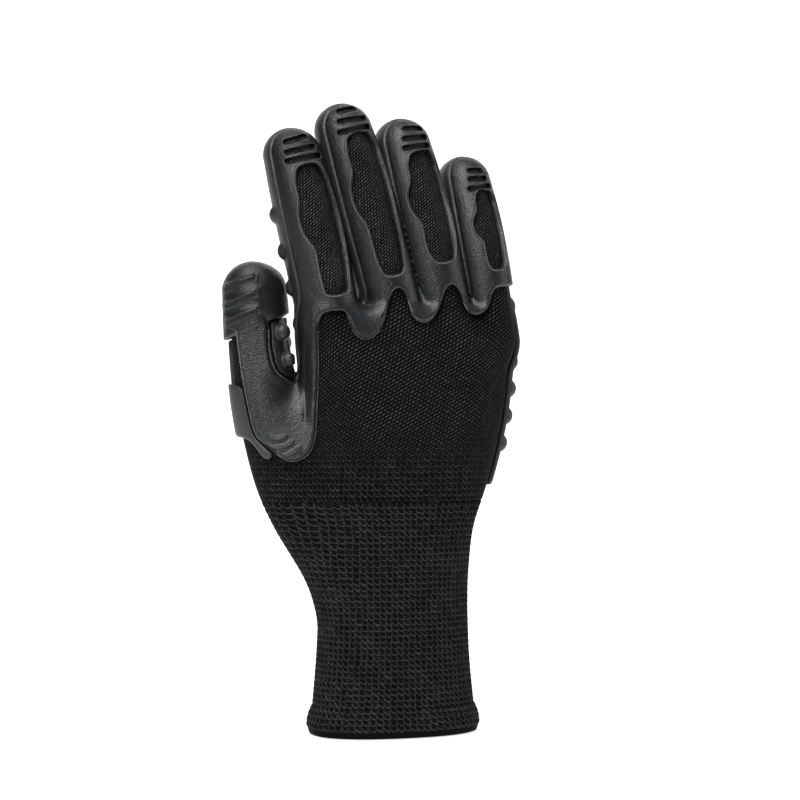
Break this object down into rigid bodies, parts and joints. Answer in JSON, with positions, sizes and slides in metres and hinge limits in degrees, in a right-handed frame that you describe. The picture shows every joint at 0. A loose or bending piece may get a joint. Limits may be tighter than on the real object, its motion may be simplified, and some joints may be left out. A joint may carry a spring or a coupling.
{
  "type": "anti vibration glove",
  "caption": "Right-hand knitted work glove with a moulded rubber back guard and a bumped rubber palm shell that damp vibration, shown filled as on a hand.",
  "frame": {"origin": "centre of the cuff's mouth, in the plane of its lower rim", "axes": "+Z from the cuff up to the fingertips, +X across the palm to the little finger's side (the thumb is at -X), the back of the hand faces -Y and the palm +Y"},
  "size_m": [0.1288, 0.0496, 0.2634],
  "materials": {
    "black_knit": "fine twill-like seamless knit, black with warm grey glints",
    "cuff_knit": "open ribbed knit, matte",
    "hem_knit": "dense rolled hem, matte",
    "guard_rubber": "moulded, fine grain, satin with soft highlights",
    "palm_rubber": "moulded, fine grain, satin"
  },
  "bodies": {
    "root": {"cuff_hem": "hem_knit", "knit_cuff": "cuff_knit", "knit_hand": "black_knit", "knit_index": "black_knit", "knit_middle": "black_knit", "knit_ring": "black_knit", "knit_little": "black_knit", "knit_thumb": "black_knit", "back_guard": "guard_rubber", "palm_shell": "palm_rubber"}
  },
  "joints": []
}
